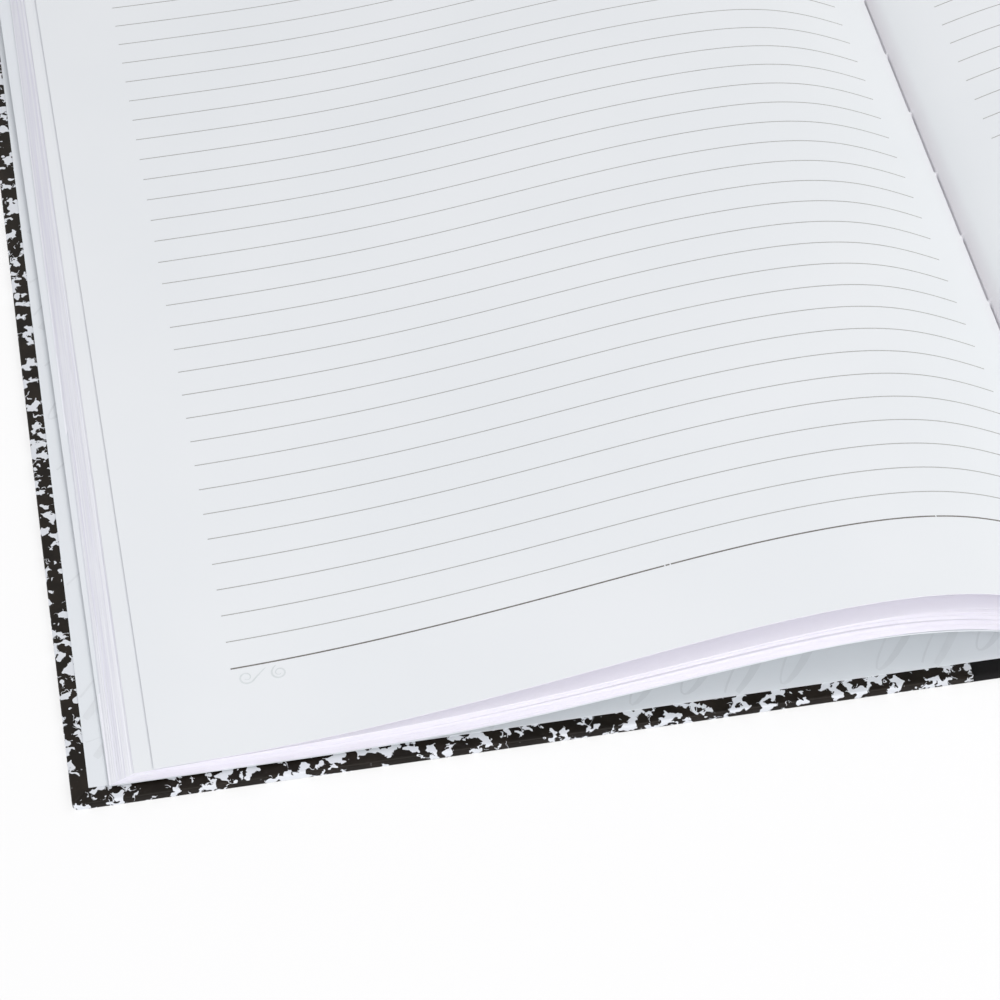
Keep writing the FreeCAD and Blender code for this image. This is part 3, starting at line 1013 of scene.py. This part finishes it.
def endpaperGrid(side):
    outer, half, rim, soft = (endpaper[key] for key in ("outer", "half", "rim", "rimSoft"))
    steps = soft * np.array([-1, -0.5, 0, 0.5, 1])
    xs = np.concatenate([np.linspace(endpaper["inner"], 13, 14), np.linspace(13, outer, 60), outer - rim + steps])
    ys = np.concatenate([np.linspace(-half, half, 70), rim - half + steps, half - rim + steps])
    d, y = np.meshgrid(np.sort(xs), np.sort(ys))
    onRim = 1 - softStep(np.minimum(outer - d, half - np.abs(y)), rim - soft, rim + soft)
    onBoard = softStep(d, groove["boardEnd"] - endpaper["dropFrom"], groove["boardEnd"])
    top = endpaper["fieldTop"] + (endpaper["rimTop"] - endpaper["fieldTop"]) * onRim
    top = endpaper["spineTop"] + (top - endpaper["spineTop"]) * onBoard
    grid = np.stack([d * side, y, top], -1)
    return grid if side > 0 else grid[:, ::-1]


def strokes():
    # rows of leaning pen loops, broad on the falling strokes
    ribbons = []
    wide, tall, pitch = endpaper["outer"] - endpaper["inner"], 2 * endpaper["half"], endpaper["strokePitch"]
    for row in range(int(tall / endpaper["strokeRow"]) + 1):
        turn = np.linspace(0, 2 * math.pi * wide / pitch, int(wide / pitch) * 26)
        swing = endpaper["swing"] + endpaper["swingMore"] * np.sin(turn * 0.37 + row)
        y = swing * np.cos(turn + row) + 3 * np.sin(turn * 0.21 + row * 2)
        x = turn / (2 * math.pi) * pitch + endpaper["loop"] * np.sin(turn + row) + y * endpaper["lean"]
        line = np.stack([x - wide / 2, y + (row + 0.5) * endpaper["strokeRow"] - tall / 2], -1)
        along = np.gradient(line, axis=0)
        fall = np.clip(-along[:, 1] / np.linalg.norm(along, axis=1), 0, 1)
        edges, quads = ribbon(line, endpaper["strokeThin"] + endpaper["strokeThick"] * fall ** 3)
        heights = 0.01 * (1.2 + np.sin(turn + row)) + 0.025 * (row % 2)      # crossing strokes lie apart
        ribbons.append((np.column_stack([edges, np.repeat(heights, 2)]), quads))
    return ribbons


def makePastedown(name, side):
    upper = endpaperGrid(side)
    lower = upper.copy()
    lower[..., 2] -= endpaper["thickness"]
    sheet = addPiece(name + "Sheet", gridShells(name, [(upper, lower)], rimSlot=0), "endpaper")
    surface, wide = makeSurface(name + "Surface", upper)
    sizes = {"Surface": surface, "Sheet": sheet, "Ink": materials["flourish"], "Wide": wide * mm,
             "Long": 2 * endpaper["half"] * mm, "Lift": endpaper["lift"] * mm,
             "Thickness": endpaper["inkThickness"] * mm}
    entry, given = growTree(name, sizes)
    inked = entry.grow("SetMaterial", {0: wrapFlat(entry, given["Flat"], given), 2: given["Ink"]})
    whole = entry.grow("ObjectInfo", {0: given["Sheet"]}, "Geometry")
    both = entry.grow("JoinGeometry", {0: [whole, inked]})
    mesh = growMesh(name, entry, both, sizes, flatMesh(name + "Flat", strokes()))
    bpy.data.objects.remove(surface)
    bpy.data.objects.remove(sheet)
    return addPiece(name, mesh)


for side, body in ((-1, "front_cover"), (1, "back_cover")):
    label = body.split("_")[0]
    paperPiece = makeCoverPaper(label + "_marbled_paper", side)
    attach(paperPiece, body)
    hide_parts(label + "_cover_paper")
    clothPiece = makeClothHalf(label + "_cloth_half", side)
    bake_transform(clothPiece)
    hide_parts(label + "_cover_cloth", "spine_cloth")
    label + "_board"
    pasted = makePastedown(label + "_pasted_endpaper", side)
    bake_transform(pasted)
    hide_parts(label + "_pastedown")
print("covers made")


# the solids that stay visible keep their slots and get the finishes above
solidFinishes = {"board": "board", "spine_strip": "board", "spine_lining": "kraft", "cloth": "cloth",
                 "pastedown": "endpaper", "flyleaf": "endpaper", "thread": "thread"}
for name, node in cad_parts.items():
    for word, key in solidFinishes.items():
        if word in name:
            for index in range(len(node.data.materials)):
                node.material_slots[index].material = materials[key]

camera = {
    "position": (-0.186753, -0.448519, 0.447864),
    "target": (-0.108350, -0.068141, 0.00195),
    "roll": 1.3085,              # degrees
    "lens": 108.573,             # millimetres, on a sensor 36 wide
}


def makeCamera():
    data = bpy.data.cameras.new("camera")
    data.lens, data.sensor_width = camera["lens"], 36
    made = linked("camera", data)
    made.location = camera["position"]
    towards = Vector(camera["target"]) - Vector(camera["position"])
    made.rotation_euler = towards.to_track_quat("-Z", "Y").to_euler()
    made.rotation_euler.rotate_axis("Z", math.radians(camera["roll"]))
    bpy.context.scene.camera = made


makeCamera()

studio = {
    "lamps": {
        "softbox": {"place": (0.5, -0.1, 0.85), "size": 0.55, "power": 2.65, "colour": (1.0, 0.985, 0.95)},
        "sideFill": {"place": (-1.2, -0.55, 0.16), "size": 0.7, "power": 4.2, "colour": (0.98, 0.965, 1.0)},
        "frontFill": {"place": (0.1, -1.35, 1.05), "size": 0.9, "power": 12.6, "colour": (0.985, 0.975, 1.0)},
    },
    "world": (0.965, 0.955, 0.995),
    "worldStrength": 0.5,
    "floorSize": 6.0,
    "floorColour": (0.96, 0.96, 0.96),
    "floorClear": 0.8,      # how much of the white backdrop shows through the floor to the camera
}


def makeLights():
    for name, lamp in studio["lamps"].items():
        data = bpy.data.lights.new(name, "AREA")
        data.shape, data.size, data.energy, data.color = "SQUARE", lamp["size"], lamp["power"], lamp["colour"]
        light = linked(name, data)
        light.location = lamp["place"]
        light.rotation_euler = (-Vector(lamp["place"])).to_track_quat("-Z", "Y").to_euler()
    world = bpy.data.worlds.new("studio")
    bpy.context.scene.world = world
    world.use_nodes = True
    tree = world.node_tree
    tree.nodes.clear()
    start = Signal(tree)
    paths = start.node("ShaderNodeLightPath")
    mirrorRays = paths.other("Is Glossy Ray") + paths.other("Is Transmission Ray")
    seen = (paths.other("Is Camera Ray") + mirrorRays).smallest(1.0)
    up = start.node("ShaderNodeTexCoord", output="Generated").split()[2].rise(-0.05, 0.1)
    light = start.node("ShaderNodeBackground", {}, {0: (*studio["world"], 1), 1: up * studio["worldStrength"]})
    white = start.node("ShaderNodeBackground", {}, {0: (1, 1, 1, 1), 1: 1.0})
    mixed = start.node("ShaderNodeMixShader", {}, {0: seen, 1: light, 2: white})
    tree.links.new(mixed.socket, tree.nodes.new("ShaderNodeOutputWorld").inputs[0])


def makeFloor():
    half = studio["floorSize"] / 2
    mesh = bpy.data.meshes.new("floor")
    corners = [(-half, -half, 0), (half, -half, 0), (half, half, 0), (-half, half, 0)]
    mesh.from_pydata(corners, [], [(0, 1, 2, 3)])
    made = bpy.data.materials.new("paleFloor")
    made.use_nodes = True
    tree = made.node_tree
    tree.nodes.clear()
    start = Signal(tree)
    paths = start.node("ShaderNodeLightPath")
    clear = (paths.other("Is Camera Ray") * studio["floorClear"] + paths.other("Is Shadow Ray")).smallest(1.0)
    matt = start.node("ShaderNodeBsdfDiffuse", {}, {0: (*studio["floorColour"], 1)})
    glass = start.node("ShaderNodeBsdfTransparent")
    mixed = start.node("ShaderNodeMixShader", {}, {0: clear, 1: matt, 2: glass})
    tree.links.new(mixed.socket, tree.nodes.new("ShaderNodeOutputMaterial").inputs[0])
    mesh.materials.append(made)
    floor = linked("floor", mesh)


makeLights()
makeFloor()
bpy.data.objects.remove(spreadSurface)
bpy.context.scene.view_settings.view_transform = "Standard"
print("studio made")
